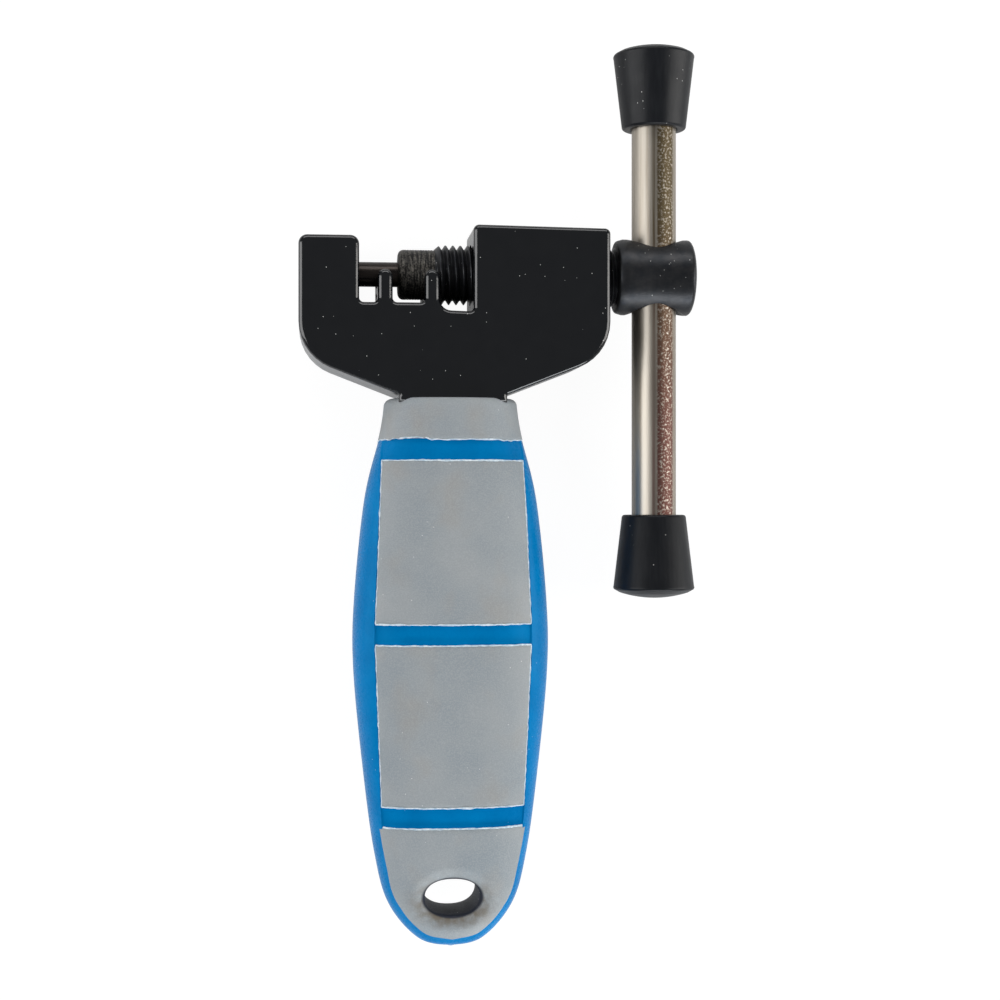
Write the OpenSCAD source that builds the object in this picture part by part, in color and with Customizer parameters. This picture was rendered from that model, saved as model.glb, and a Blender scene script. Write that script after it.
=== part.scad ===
/* [Head] */
// Thickness of the head casting
head_t = 12; // [9:0.5:15]
// Width of the anvil jaw
anvil_w = 7.9; // [6:0.1:12]
// Clear width of the chain slot, from anvil jaw to screw block
slot_w = 15; // [12:0.1:18]
// Width of the screw block
block_w = 18.2; // [14:0.1:24]
// Distance of the slot's middle from the handle's centreline
slot_offset = 4.8; // [2:0.05:8]
// Height of the anvil jaw above the screw axis
anvil_rise = 4.5; // [3:0.1:8]
// Height of the screw block above the screw axis
block_rise = 6.1; // [5.5:0.1:10]
// Depth of the slot's floor below the screw axis
floor_drop = 4.25; // [4:0.05:6]
// Depth of the thread relief beside the block, below the slot's floor
relief_depth = 0.95; // [0:0.05:2]
// Thickness of a cradle rib
rib_t = 1.95; // [1.4:0.05:2.3]
// Height of the ribs' round tops above the screw axis
rib_rise = 0.1; // [-1:0.1:1.5]
// Distance from the anvil jaw to the middle of the outer rib
rib_inset = 3.4; // [2.4:0.1:4.2]
// Distance between the middles of the two ribs
rib_spacing = 6.15; // [4.5:0.05:6.8]
// Depth of the neck, where the head meets the handle, below the screw axis
neck_drop = 16.7; // [14:0.1:24]
// Width of the neck
neck_w = 14.3; // [12:0.1:17]
// Slope of the head's underside, from the neck outwards, in degrees
shoulder_slope = 22.7; // [10:0.1:35]
// Radius of the head's lower outer corners
shoulder_r = 6.5; // [3:0.1:9]
// Radius of the jaw's and block's upper corners
jaw_r = 1; // [0.3:0.1:2]
// Radius of the slot's inner corners
slot_r = 0.6; // [0.2:0.1:0.9]
// Diameter of the rivet hole through the anvil jaw
rivet_hole_d = 4.2; // [3.8:0.1:5]

/* [Tang] */
// Width of the tang inside the handle
tang_w = 10; // [7:0.5:12]
// Thickness of the tang
tang_t = 5.5; // [3:0.5:8]
// Length of the tang
tang_len = 42; // [25:1:50]
// Diameter of the hole that keys the tang into the handle
key_d = 5; // [3:0.5:6]
// Distance of the key hole from the tang's end
key_inset = 7; // [5:0.5:12]

/* [Screw] */
// Outside diameter of the forcing screw's thread
thread_d = 8; // [6.7:0.1:8.1]
// Depth of the thread
thread_depth = 0.6; // [0.4:0.05:0.7]
// Advance of the screw in one turn
pitch = 1; // [0.75:0.25:1.25]
// Length of thread that stands in the chain slot
thread_reach = 4.9; // [2:0.1:6]
// Step from the thread's root down to the nose that holds the drive pin
nose_step = 0.075; // [0.025:0.025:0.2]
// Length of the nose
nose_len = 4.85; // [3:0.05:6]
// Edge break at the nose's front
nose_chamfer = 0.5; // [0.2:0.1:0.8]
// Wall of the nose's spigot inside the screw
spigot_wall = 0.55; // [0.4:0.05:0.6]
// Diameter of the drive pin
pin_d = 3.3; // [2.8:0.1:3.5]
// Length of pin that stands out of the nose
pin_reach = 6.35; // [5.3:0.05:8]
// Rim by which the pin's head, held inside the nose, is wider than the pin
pin_head_rim = 0.35; // [0.2:0.05:0.4]
// Length of the pin's head
pin_head_len = 5; // [3:0.5:7]

/* [Barrel] */
// Distance between screw block and barrel
barrel_gap = 1.4; // [1.2:0.1:6]
// Length of the barrel
barrel_len = 10.8; // [9:0.1:14]
// Diameter of the barrel's two rims
barrel_d = 10.2; // [9.4:0.1:12]
// Depth of the barrel's waist below its rims
waist_depth = 0.3; // [0:0.05:1.2]
// Radius of the barrel's edges
barrel_edge_r = 0.8; // [0.3:0.1:1]
// Depth of the countersinks at both ends of the barrel's cross hole
hole_flare = 0.9; // [0.2:0.1:1.5]

/* [T-bar] */
// Diameter of the sliding rod
rod_d = 6; // [4:0.5:6.5]
// Overall length of the bar with its two caps
bar_len = 74.7; // [55:0.1:110]
// Distance of the bar's middle below the screw axis, as it is stored
bar_drop = 6.05; // [0:0.05:12]
// Length of a cap's tapered side
cap_len = 10.2; // [8:0.1:14]
// Height of a cap's domed end
cap_dome = 1.05; // [0.3:0.05:2]
// Wall of a cap round the rod, at its inner end
cap_wall = 1.4; // [0.8:0.1:2]
// Flare of a cap's side, from its inner to its outer end
cap_flare = 1.1; // [0.5:0.1:2]
// Depth of the rod inside a cap
cap_socket = 8.5; // [5:0.1:9.5]

/* [Handle] */
// Length of the handle, collar included
handle_len = 73; // [65:0.5:90]
// Largest width of the handle
handle_w = 25.9; // [22:0.1:32]
// Largest thickness of the handle
handle_t = 16.5; // [14:0.5:20]
// Length of the soft collar at the handle's top
collar_len = 5.5; // [4:0.1:8]
// Thickness of the soft grip skin
skin_t = 1.2; // [0.8:0.1:1.6]
// Length of the upper grip panel
upper_len = 21.4; // [15:0.1:24]
// Length of the lower grip panel
lower_len = 21.2; // [15:0.1:24]
// Width of the hard bands between the panels
band_w = 2.8; // [2:0.1:4]
// Width of the hard border beside the upper panel's top
border_top = 1.05; // [0.8:0.05:2]
// Width of the hard border between the two panels, at the handle's belly
border_mid = 2.7; // [2:0.1:4]
// Width of the hard border beside the lower panel's bottom
border_low = 1.8; // [1:0.1:3]
// Width of the hanging hole
hole_w = 7.4; // [6:0.1:9]
// Height of the hanging hole
hole_h = 5.2; // [4.6:0.1:6.4]
// Distance of the hole's middle from the handle's end
hole_inset = 7.15; // [6.5:0.05:9]
// Width of the hard rim between end pad and handle's edge
rim_w = 1.3; // [0.8:0.1:2]
// Radius of the handle's long edges
edge_r = 5; // [3:0.5:6.5]

/* [Fits] */
// Radial clearance of a running fit
running_gap = 0.05; // [0.02:0.01:0.1]
// Clearance around a fixed or moulded fit
fixed_gap = 0.02; // [0.01:0.01:0.05]
// Clearance between the ribs' groove and the thread
groove_gap = 0.12; // [0.1:0.01:0.2]

/* [Hidden] */
$fn = 48;
cut = 1;

// Places along X, from the handle's centreline
slot_left = -slot_offset - slot_w / 2;
slot_right = slot_left + slot_w;
head_left = slot_left - anvil_w;
head_right = slot_right + block_w;
thread_tip = slot_right - thread_reach;
nose_tip = thread_tip - nose_len;
pin_tip = nose_tip - pin_reach;
root_d = thread_d - 2 * thread_depth;
nose_d = root_d - 2 * nose_step;
pin_head_d = pin_d + 2 * pin_head_rim;
spigot_d = pin_head_d + 2 * running_gap + 2 * spigot_wall;
cap_inner_d = rod_d + 2 * cap_wall;
cap_outer_d = cap_inner_d + 2 * cap_flare;
barrel_left = head_right + barrel_gap;
bar_x = barrel_left + barrel_len / 2;
spigot_end = thread_tip + pin_head_len;

// Places along Y, from the screw axis
handle_top = -neck_drop;
handle_end = handle_top - handle_len;
bar_top = bar_len / 2 - bar_drop;
cap_all = cap_len + cap_dome;
cap_inner_y = bar_len / 2 - cap_all;

// The part stands with its origin in the middle of its box, at the bottom
part_right = max(barrel_left + barrel_len, bar_x + cap_outer_d / 2);
origin = [(head_left + part_right) / 2, (handle_end + bar_top) / 2, -handle_t / 2];

// Handle: share of the length, of the half width and of the half thickness
STATIONS = [
    [0, 0.675, 0.86], [0.035, 0.698, 0.872], [0.075, 0.742, 0.89], [0.185, 0.89, 0.96],
    [0.37, 0.996, 0.995], [0.5, 1, 1], [0.69, 0.895, 0.93], [0.83, 0.785, 0.81], [0.92, 0.645, 0.69], [0.983, 0.35, 0.5], [1, 0.05, 0.3]
];
span_steps = 4;

function unit(v) = v / norm(v);

// Arc of radius r that rounds the corner b between the points a and c
function corner(a, b, c, r, steps) =
    let (u = unit(a - b), v = unit(c - b), half = acos(u * v) / 2)
    let (middle = b + unit(u + v) * r / sin(half), first = b + u * r / tan(half) - middle)
    let (last = b + v * r / tan(half) - middle, start = atan2(first[1], first[0]))
    let (turn = (atan2(last[1], last[0]) - start + 540) % 360 - 180)
    [for (i = [0:steps]) middle + r * [cos(start + turn * i / steps), sin(start + turn * i / steps)]];

// Outline through corners [x, y, radius]
function rounded(corners, steps = 6) =
    let (n = len(corners), flat = [for (p = corners) [p[0], p[1]]])
    [for (i = [0:n - 1]) each corners[i][2] > 0
        ? corner(flat[(i + n - 1) % n], flat[i], flat[(i + 1) % n], corners[i][2], steps)
        : [flat[i]]];

// Point at t, from 0 to 1, on the smooth curve between b and c
function spline(a, b, c, d, t) =
    (2 * b + (c - a) * t + (2 * a - 5 * b + 4 * c - d) * t * t + (3 * b - a - 3 * c + d) * t * t * t) / 2;

// Station i of the handle, continued in a straight line past either end
function station(i) =
    i < 0 ? 2 * STATIONS[0] - STATIONS[1]
    : i >= len(STATIONS) ? 2 * STATIONS[len(STATIONS) - 1] - STATIONS[len(STATIONS) - 2]
    : STATIONS[i];

// [distance below the handle's top, half width, half thickness] at station u
function handle_at(u) =
    let (i = min(floor(u), len(STATIONS) - 2))
    let (p = spline(station(i - 1), station(i), station(i + 1), station(i + 2), u - i))
    [p[0] * handle_len, p[1] * handle_w / 2, p[2] * handle_t / 2];

// Handle's half width and half thickness at a distance below its top
function station_of(s, low = 0, high = len(STATIONS) - 1, tries = 20) =
    let (u = (low + high) / 2)
    tries == 0 ? u
    : handle_at(u)[0] < s ? station_of(s, u, high, tries - 1) : station_of(s, low, u, tries - 1);

// Stations from one distance below the handle's top to another
function stops(from, to) =
    let (first = station_of(from), last = station_of(to))
    concat([first], [for (i = [1:(len(STATIONS) - 1) * span_steps]) let (u = i / span_steps)
        if (u > first + 0.1 && u < last - 0.1) u], [last]);

// Closed outline of half width w at distance s for the pairs [s, w]
function both_sides(pairs) = concat(
    [for (p = pairs) [p[1], handle_top - p[0]]],
    [for (i = [len(pairs) - 1:-1:0]) [-pairs[i][1], handle_top - pairs[i][0]]]);

// Slab between the front and rear faces, drawn in by inset
module face_profile(from, to, inset) {
    faces = both_sides([for (u = stops(from, to)) let (p = handle_at(u)) [p[0], p[2] - inset]]);
    translate([-handle_w, 0, 0]) rotate([90, 0, 90]) linear_extrude(2 * handle_w)
        polygon([for (q = faces) [q[1], q[0]]]);
}

// Solid bounded by the handle's front outline, side profile and round-edged section
module handle_body(from, to, inset = 0) {
    points = [for (u = stops(from, to)) handle_at(u)];
    w = handle_w - 2 * inset;
    t = handle_t - 2 * inset;
    intersection() {
        translate([0, 0, -t / 2]) linear_extrude(t)
            polygon(both_sides([for (p = points) [p[0], max(p[1] - inset, 0.5)]]));
        face_profile(from, to, inset);
        translate([0, handle_top + cut, 0]) rotate([90, 0, 0]) linear_extrude(handle_len + 2 * cut)
            section(w, t);
    }
}

// Rectangle with round corners
module section(w, t) {
    polygon(rounded([for (c = [[-1, -1], [1, -1], [1, 1], [-1, 1]]) [c[0] * w / 2, c[1] * t / 2, edge_r]], 4));
}

// Panel from a distance below the handle's top over a length, with straight sides
module panel_outline(from, length, borders, gap) {
    places = [from + gap, from + length - gap];
    polygon(both_sides([for (i = [0, 1]) [places[i], handle_at(station_of(places[i]))[1] - borders[i] - gap]]));
}

// End pad: straight across at the top, with an even rim round the handle's end
module end_outline(gap) {
    points = [for (u = stops(end_from + gap, handle_len - rim_w - gap)) handle_at(u)];
    polygon(both_sides([for (p = points) [p[0], max(p[1] - rim_w - gap, 0.5)]]));
}

upper_from = collar_len + band_w;
lower_from = upper_from + upper_len + band_w;
end_from = lower_from + lower_len + band_w;

// Length of X-axis cylinder from one place to another
module shaft(d, from, to) {
    translate([from, 0, 0]) rotate([0, 90, 0]) cylinder(d = d, h = to - from);
}

module stadium(w, h) {
    straight = w - h;
    for (side = [-1, 1]) translate([side * straight / 2, 0]) circle(d = h);
    square([straight, h], center = true);
}

module hanging_hole(grow = 0) {
    translate([0, handle_end + hole_inset, -handle_t])
        linear_extrude(2 * handle_t)
            stadium(hole_w + 2 * grow, hole_h + 2 * grow);
}

module placed() {
    translate(-origin) children();
}

module head_outline() {
    outer_rib = slot_left + rib_inset;
    inner_rib = outer_rib + rib_spacing;
    half = rib_t / 2;
    top_r = half * 0.98;
    relief = floor_drop + relief_depth;
    slope = tan(shoulder_slope);
    left_low = -neck_drop + (-head_left - neck_w / 2) * slope;
    right_low = -neck_drop + (head_right - neck_w / 2) * slope;
    polygon(rounded([
        [-neck_w / 2, -neck_drop, 0],
        [head_left, left_low, shoulder_r],
        [head_left, anvil_rise, jaw_r],
        [slot_left, anvil_rise, jaw_r],
        [slot_left, -floor_drop, slot_r],
        [outer_rib - half, -floor_drop, slot_r],
        [outer_rib - half, rib_rise, top_r],
        [outer_rib + half, rib_rise, top_r],
        [outer_rib + half, -floor_drop, slot_r],
        [inner_rib - half, -floor_drop, slot_r],
        [inner_rib - half, rib_rise, top_r],
        [inner_rib + half, rib_rise, top_r],
        [inner_rib + half, -relief, slot_r],
        [slot_right, -relief, slot_r],
        [slot_right, block_rise, jaw_r],
        [head_right, block_rise, jaw_r],
        [head_right, right_low, shoulder_r],
        [neck_w / 2, -neck_drop, 0]
    ]));
}

module tang(gap = 0) {
    w = tang_w + 2 * gap;
    t = tang_t + 2 * gap;
    translate([-w / 2, handle_top - tang_len - gap, -t / 2]) cube([w, tang_len + gap, t]);
}

module key(d) {
    translate([0, handle_top - tang_len + key_inset, -tang_t / 2 - cut])
        cylinder(d = d, h = tang_t + 2 * cut);
}

module head_frame() {
    color("#17181a") placed() difference() {
        union() {
            translate([0, 0, -head_t / 2]) linear_extrude(head_t) head_outline();
            tang();
        }
        shaft(thread_d + 2 * running_gap, slot_right - cut, head_right + cut);
        shaft(thread_d + 2 * groove_gap, slot_left + slot_r, slot_right);
        shaft(rivet_hole_d, head_left - cut, slot_left + cut);
        key(key_d);
    }
}

// Thread as rings: a row of teeth with flat crests, one pitch apart
module thread_rings() {
    crest = pitch / 8;
    flank = (thread_d - root_d) / 2 * tan(30);
    count = floor((barrel_left - thread_tip) / pitch) - 1;
    teeth = [for (i = [0:count - 1]) let (x = thread_tip + (i + 0.5) * pitch) each [
        [root_d / 2, x - crest / 2 - flank],
        [thread_d / 2, x - crest / 2],
        [thread_d / 2, x + crest / 2],
        [root_d / 2, x + crest / 2 + flank]
    ]];
    rotate([0, 90, 0]) rotate_extrude()
        polygon(concat([[0, thread_tip]], [[root_d / 2, thread_tip]], teeth,
            [[root_d / 2, barrel_left + cut], [0, barrel_left + cut]]));
}

// Spool: two round-edged rims with a waist between them
module barrel() {
    steps = 10;
    rim = barrel_d / 2;
    from = barrel_left + barrel_edge_r;
    to = barrel_left + barrel_len - barrel_edge_r;
    waist = [for (i = [0:steps]) let (f = i / steps)
        [rim - waist_depth * (1 - cos(360 * f)) / 2, from + (to - from) * f]];
    near = [for (i = [0:3]) let (a = 90 * i / 4)
        [rim - barrel_edge_r * (1 - sin(a)), from - barrel_edge_r * cos(a)]];
    far = [for (i = [3:-1:0]) let (a = 90 * i / 4)
        [rim - barrel_edge_r * (1 - sin(a)), to + barrel_edge_r * cos(a)]];
    rotate([0, 90, 0]) rotate_extrude()
        polygon(concat([[0, barrel_left]], near, waist, far, [[0, barrel_left + barrel_len]]));
}

module forcing_screw() {
    color("#1d1e20") placed() difference() {
        union() {
            thread_rings();
            barrel();
        }
        translate([bar_x, -barrel_d, 0]) rotate([-90, 0, 0])
            cylinder(d = rod_d + 2 * running_gap, h = 2 * barrel_d);
        for (side = [-1, 1]) translate([bar_x, side * barrel_d / 2, 0]) rotate([-90 * side, 0, 0])
            translate([0, 0, -hole_flare])
                cylinder(d1 = rod_d + 2 * running_gap, d2 = rod_d + 2 * running_gap + 4 * hole_flare,
                    h = 2 * hole_flare);
        shaft(spigot_d + 2 * fixed_gap, thread_tip - cut, spigot_end + fixed_gap);
    }
}

module pin_nose() {
    r = nose_d / 2;
    bore = pin_d / 2 + running_gap;
    pocket = pin_head_d / 2 + running_gap;
    spigot = spigot_d / 2;
    face = thread_tip - fixed_gap;
    color("#6d665f") placed() rotate([0, 90, 0]) rotate_extrude()
        polygon([
            [bore, nose_tip],
            [r - nose_chamfer, nose_tip],
            [r, nose_tip + nose_chamfer],
            [r, face],
            [spigot, face],
            [spigot, spigot_end - fixed_gap],
            [pocket, spigot_end - fixed_gap],
            [pocket, thread_tip - running_gap],
            [bore, thread_tip - running_gap]
        ]);
}

module drive_pin() {
    tip_chamfer = 0.3;
    r = pin_d / 2;
    head = pin_head_d / 2;
    color("#26241f") placed() rotate([0, 90, 0]) rotate_extrude()
        polygon([
            [0, pin_tip],
            [r - tip_chamfer, pin_tip],
            [r, pin_tip + tip_chamfer],
            [r, thread_tip],
            [head, thread_tip],
            [head, spigot_end - 2 * fixed_gap],
            [0, spigot_end - 2 * fixed_gap]
        ]);
}

// Places a piece of the T-bar: its own Z axis runs outwards along the bar
module on_bar(side) {
    placed() translate([bar_x, -bar_drop, 0]) rotate([side * -90, 0, 0]) children();
}

module tbar_rod() {
    half = cap_inner_y + cap_socket;
    edge = 0.4;
    color("#c9c4bb") on_bar(1) rotate_extrude()
        polygon([
            [0, -half], [rod_d / 2 - edge, -half], [rod_d / 2, -half + edge],
            [rod_d / 2, half - edge], [rod_d / 2 - edge, half], [0, half]
        ]);
}

module tbar_cap(side) {
    rim = cap_outer_d / 2;
    sphere_r = (rim * rim + cap_dome * cap_dome) / (2 * cap_dome);
    half_angle = asin(rim / sphere_r);
    steps = 8;
    edge = cap_inner_y + cap_len;
    dome = [for (i = [0:steps]) let (a = half_angle * (1 - i / steps))
        [sphere_r * sin(a), edge + cap_dome - sphere_r * (1 - cos(a))]];
    socket_r = rod_d / 2 + fixed_gap;
    socket_end = cap_inner_y + cap_socket + fixed_gap;
    color("#1b1b1d") on_bar(side) rotate_extrude()
        polygon(concat([
            [0, socket_end],
            [socket_r, socket_end],
            [socket_r, cap_inner_y],
            [cap_inner_d / 2, cap_inner_y]
        ], dome));
}

// Layer of grip skin on one face of the handle, under an outline
module grip_layer(face, from, to, gap) {
    difference() {
        intersection() {
            handle_body(from, to);
            mirror([0, 0, face < 0 ? 1 : 0]) linear_extrude(handle_t) children();
        }
        face_profile(from - cut, to + cut, skin_t - gap);
    }
}

module upper_panel(face, gap = 0) {
    grip_layer(face, upper_from, upper_from + upper_len, gap)
        panel_outline(upper_from, upper_len, [border_top, border_mid], gap);
}

module lower_panel(face, gap = 0) {
    grip_layer(face, lower_from, lower_from + lower_len, gap)
        panel_outline(lower_from, lower_len, [border_mid, border_low], gap);
}

module end_pad(face, gap = 0) {
    grip_layer(face, end_from, handle_len - rim_w, gap) end_outline(gap);
}

module handle_core() {
    color("#0b7fd0") placed() {
        difference() {
            union() {
                handle_body(collar_len + fixed_gap, handle_len);
                handle_body(skin_t + fixed_gap, collar_len + cut, skin_t + fixed_gap);
            }
            for (face = [-1, 1]) {
                upper_panel(face);
                lower_panel(face);
                end_pad(face);
            }
            hanging_hole(skin_t);
            tang(fixed_gap);
        }
        key(key_d - 2 * fixed_gap);
    }
}

module grip_collar() {
    color("#8f9499") placed() difference() {
        handle_body(fixed_gap, collar_len);
        handle_body(skin_t, collar_len + cut, skin_t);
        tang(fixed_gap);
    }
}

module grip_upper(face) {
    color("#8f9499") placed() upper_panel(face, fixed_gap);
}

module grip_lower(face) {
    color("#8f9499") placed() lower_panel(face, fixed_gap);
}

module grip_end_pad() {
    color("#8f9499") placed() difference() {
        union() {
            end_pad(1, fixed_gap);
            end_pad(-1, fixed_gap);
            intersection() {
                handle_body(end_from, handle_len);
                hanging_hole(skin_t - fixed_gap);
            }
        }
        hanging_hole();
    }
}

head_frame();
forcing_screw();
pin_nose();
drive_pin();
tbar_rod();
tbar_cap(1);  // tbar_cap_upper
tbar_cap(-1);  // tbar_cap_lower
handle_core();
grip_collar();
grip_upper(1);  // grip_front_upper
grip_lower(1);  // grip_front_lower
grip_upper(-1);  // grip_rear_upper
grip_lower(-1);  // grip_rear_lower
grip_end_pad();
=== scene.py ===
# %% [markdown]
# # A bicycle chain tool, piece by piece
# The tool lies on its back. A C-shaped head, cast and painted black, holds a chain on two ribs. A forcing
# screw turned by a sliding T-bar pushes a thin drive pin against the chain's rivet. The handle is a hard
# blue core with soft grey grips. Each cell below makes one piece or one finish. Places come from the
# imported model, so that every visible piece sits where its working solid does.

# %% Load the working model
import bpy
import bmesh
import math
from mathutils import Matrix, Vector, noise


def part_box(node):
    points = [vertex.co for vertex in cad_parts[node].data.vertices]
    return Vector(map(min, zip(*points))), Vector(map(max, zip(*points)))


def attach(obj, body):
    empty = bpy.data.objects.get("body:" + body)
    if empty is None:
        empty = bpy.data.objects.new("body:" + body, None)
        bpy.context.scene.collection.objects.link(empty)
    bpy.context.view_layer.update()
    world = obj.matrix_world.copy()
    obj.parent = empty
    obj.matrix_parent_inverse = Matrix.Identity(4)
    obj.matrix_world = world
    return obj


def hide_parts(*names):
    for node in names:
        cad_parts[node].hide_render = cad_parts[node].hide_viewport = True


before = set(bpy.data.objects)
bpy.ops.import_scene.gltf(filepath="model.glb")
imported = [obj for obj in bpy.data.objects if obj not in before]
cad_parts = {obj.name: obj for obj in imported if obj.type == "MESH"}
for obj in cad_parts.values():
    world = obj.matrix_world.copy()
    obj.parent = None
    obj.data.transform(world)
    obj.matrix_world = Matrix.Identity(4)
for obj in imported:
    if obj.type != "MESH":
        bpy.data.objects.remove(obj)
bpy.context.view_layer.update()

# %% [markdown]
# The pieces are easier to think about in millimetres from a natural centre: x = 0 on the handle's
# centreline, y = 0 on the screw's axis, z = 0 halfway through the thickness. The centre is found from the
# boxes of the core and of the drive pin, and a box reader gives any node's corners in these units.

# %% A centre and a unit
MM = 0.001


def middle(node):
    low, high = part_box(node)
    return (low + high) / 2


HOME = Vector((middle("handle_core").x, middle("drive_pin").y, middle("drive_pin").z))


def span(node, axis):
    low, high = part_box(node)
    return (low[axis] - HOME[axis]) / MM, (high[axis] - HOME[axis]) / MM


head_left, head_right = span("head_frame", 0)
head_back, head_front = span("head_frame", 2)
handle_end, handle_top = span("handle_core", 1)[0], span("grip_collar", 1)[1]
handle_half_w = span("handle_core", 0)[1]
handle_half_t = span("handle_core", 2)[1]
bar_x = sum(span("tbar_rod", 0)) / 2
hole_y = handle_end + 7.15
hole_half_w, hole_half_h = 3.7, 2.6
print("handle runs from", round(handle_top, 2), "to", round(handle_end, 2), "mm below the screw")

# %% [markdown]
# ## Small helpers
# Most pieces are rings of points joined into a skin, so one function takes the rings and returns a smooth
# closed mesh. Doubles are merged and the faces turned outwards before anything else is done to it. Edges
# sharper than a chosen angle stay crisp.

# %% Meshes from rings


def as_piece(name, points, faces, crisp=35.0):
    mesh = bpy.data.meshes.new(name)
    mesh.from_pydata([HOME + Vector(p) * MM for p in points], [], faces)
    piece = bpy.data.objects.new(name, mesh)
    bpy.context.scene.collection.objects.link(piece)
    clean(mesh, crisp)
    return piece


def clean(mesh, crisp=35.0):
    work = bmesh.new()
    work.from_mesh(mesh)
    bmesh.ops.remove_doubles(work, verts=work.verts, dist=0.002 * MM)
    bmesh.ops.dissolve_degenerate(work, edges=work.edges, dist=0.0005 * MM)
    bmesh.ops.recalc_face_normals(work, faces=work.faces)
    work.to_mesh(mesh)
    work.free()
    mesh.shade_smooth()
    mesh.set_sharp_from_angle(angle=math.radians(crisp))


def skin(name, rings, loop=False, crisp=35.0):
    """Joins rings of equal length. The ends are closed, or joined to each other where loop is set."""
    size = len(rings[0])
    points = [p for ring in rings for p in ring]
    count = len(rings) if loop else len(rings) - 1
    faces = []
    for r in range(count):
        for k in range(size):
            a, b = r * size, ((r + 1) % len(rings)) * size
            faces.append((a + k, a + (k + 1) % size, b + (k + 1) % size, b + k))
    if not loop:
        faces.append(tuple(range(size)))
        faces.append(tuple((len(rings) - 1) * size + k for k in range(size)))
    return as_piece(name, points, faces, crisp)


def turned(name, profile, along="x", centre=(0.0, 0.0), steps=96, crisp=35.0):
    """A turned piece: profile holds (place along the axis, radius), from one end to the other."""
    rings = []
    for place, radius in profile:
        ring = []
        for k in range(steps):
            turn = 2 * math.pi * k / steps
            a, b = max(radius, 0.0) * math.cos(turn), max(radius, 0.0) * math.sin(turn)
            ring.append((place, a, b) if along == "x" else (centre[0] + a, place, centre[1] + b))
        rings.append(ring)
    return skin(name, rings, crisp=crisp)


def arc(centre_a, centre_b, radius, start, end, steps):
    """Points (a, b) on an arc, from one angle to another, in degrees."""
    angles = [math.radians(start + (end - start) * i / steps) for i in range(steps + 1)]
    return [(centre_a + radius * math.cos(t), centre_b + radius * math.sin(t)) for t in angles]


def settle(piece, crisp=None):
    """Turns a piece and its modifiers into a plain mesh."""
    graph = bpy.context.evaluated_depsgraph_get()
    mesh = bpy.data.meshes.new_from_object(piece.evaluated_get(graph), depsgraph=graph)
    piece.modifiers.clear()
    old = piece.data
    piece.data = mesh
    bpy.data.meshes.remove(old)
    if crisp is not None:
        clean(piece.data, crisp)
    return piece


def cut(piece, tool, crisp=35.0):
    """Takes the tool's shape out of a piece."""
    boolean = piece.modifiers.new("cut", "BOOLEAN")
    boolean.object = tool
    boolean.solver = "EXACT"
    settle(piece, crisp)
    bpy.data.objects.remove(tool)


def ease_edges(piece, width, angle=40.0, segments=3):
    """Breaks the sharp edges of a piece, and keeps its flat faces looking flat."""
    bevel = piece.modifiers.new("bevel", "BEVEL")
    bevel.width = width * MM
    bevel.segments = segments
    bevel.limit_method = "ANGLE"
    bevel.angle_limit = math.radians(angle)
    bevel.use_clamp_overlap = True
    settle(piece)


def flat_shading(piece):
    """Weights the shading by face area, so that small rounded edges don't darken the big flats."""
    piece.data.shade_smooth()
    piece.data.set_sharp_from_angle(angle=math.radians(50))
    weighted = piece.modifiers.new("weighted", "WEIGHTED_NORMAL")
    weighted.keep_sharp = True
    settle(piece)


# %% [markdown]
# ## Helpers for node trees
# Geometry Nodes and materials are both built from text here. One function adds a node, fills its inputs
# with numbers or links, and returns it. A second one is a short way to write a sum.

# %% Node helpers


def add(tree, kind, inputs=None, **settings):
    made = tree.nodes.new(kind)
    for key, value in settings.items():
        setattr(made, key, value)
    for key, value in (inputs or {}).items():
        if isinstance(value, bpy.types.NodeSocket):
            tree.links.new(value, made.inputs[key])
        else:
            made.inputs[key].default_value = value
    return made


def calc(tree, operation, *values, clamp=False):
    inputs = {i: v for i, v in enumerate(values)}
    return add(tree, "ShaderNodeMath", inputs, operation=operation, use_clamp=clamp).outputs[0]


def growing_tree(name, inputs):
    """A Geometry Nodes tree with named number inputs. Returns the tree and its input sockets."""
    tree = bpy.data.node_groups.new(name, "GeometryNodeTree")
    tree.interface.new_socket("Geometry", in_out="INPUT", socket_type="NodeSocketGeometry")
    for label, value in inputs.items():
        kind = "NodeSocketInt" if isinstance(value, int) else "NodeSocketFloat"
        socket = tree.interface.new_socket(label, in_out="INPUT", socket_type=kind)
        socket.default_value = value
    tree.interface.new_socket("Geometry", in_out="OUTPUT", socket_type="NodeSocketGeometry")
    return tree, tree.nodes.new("NodeGroupInput").outputs


def close_tree(tree, geometry, material):
    """Ends a tree: real geometry, with its finish set."""
    real = add(tree, "GeometryNodeRealizeInstances", {0: geometry}).outputs[0]
    painted = add(tree, "GeometryNodeSetMaterial", {"Geometry": real, "Material": material}).outputs[0]
    shaded = add(tree, "GeometryNodeSetShadeSmooth", {0: painted}).outputs[0]
    add(tree, "NodeGroupOutput", {0: shaded})


def grow(piece, tree, values, crisp=35.0):
    """Runs a tree on a piece with the given sizes, and keeps the result as a plain mesh."""
    modifier = piece.modifiers.new(tree.name, "NODES")
    modifier.node_group = tree
    for item in tree.interface.items_tree:
        if item.in_out == "INPUT" and item.name in values:
            modifier[item.identifier] = values[item.name]
    settle(piece, crisp)
    return piece


# %% [markdown]
# ## Camera, light and floor
# The camera looks straight down at the tool, which has rolled a little towards its T-bar. Instead of
# rolling the tool, the camera is turned the other way about the tool's long axis. Two large side lights
# and a far one leave the space right above the tool dim, so that black paint stays black on its flats.

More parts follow.
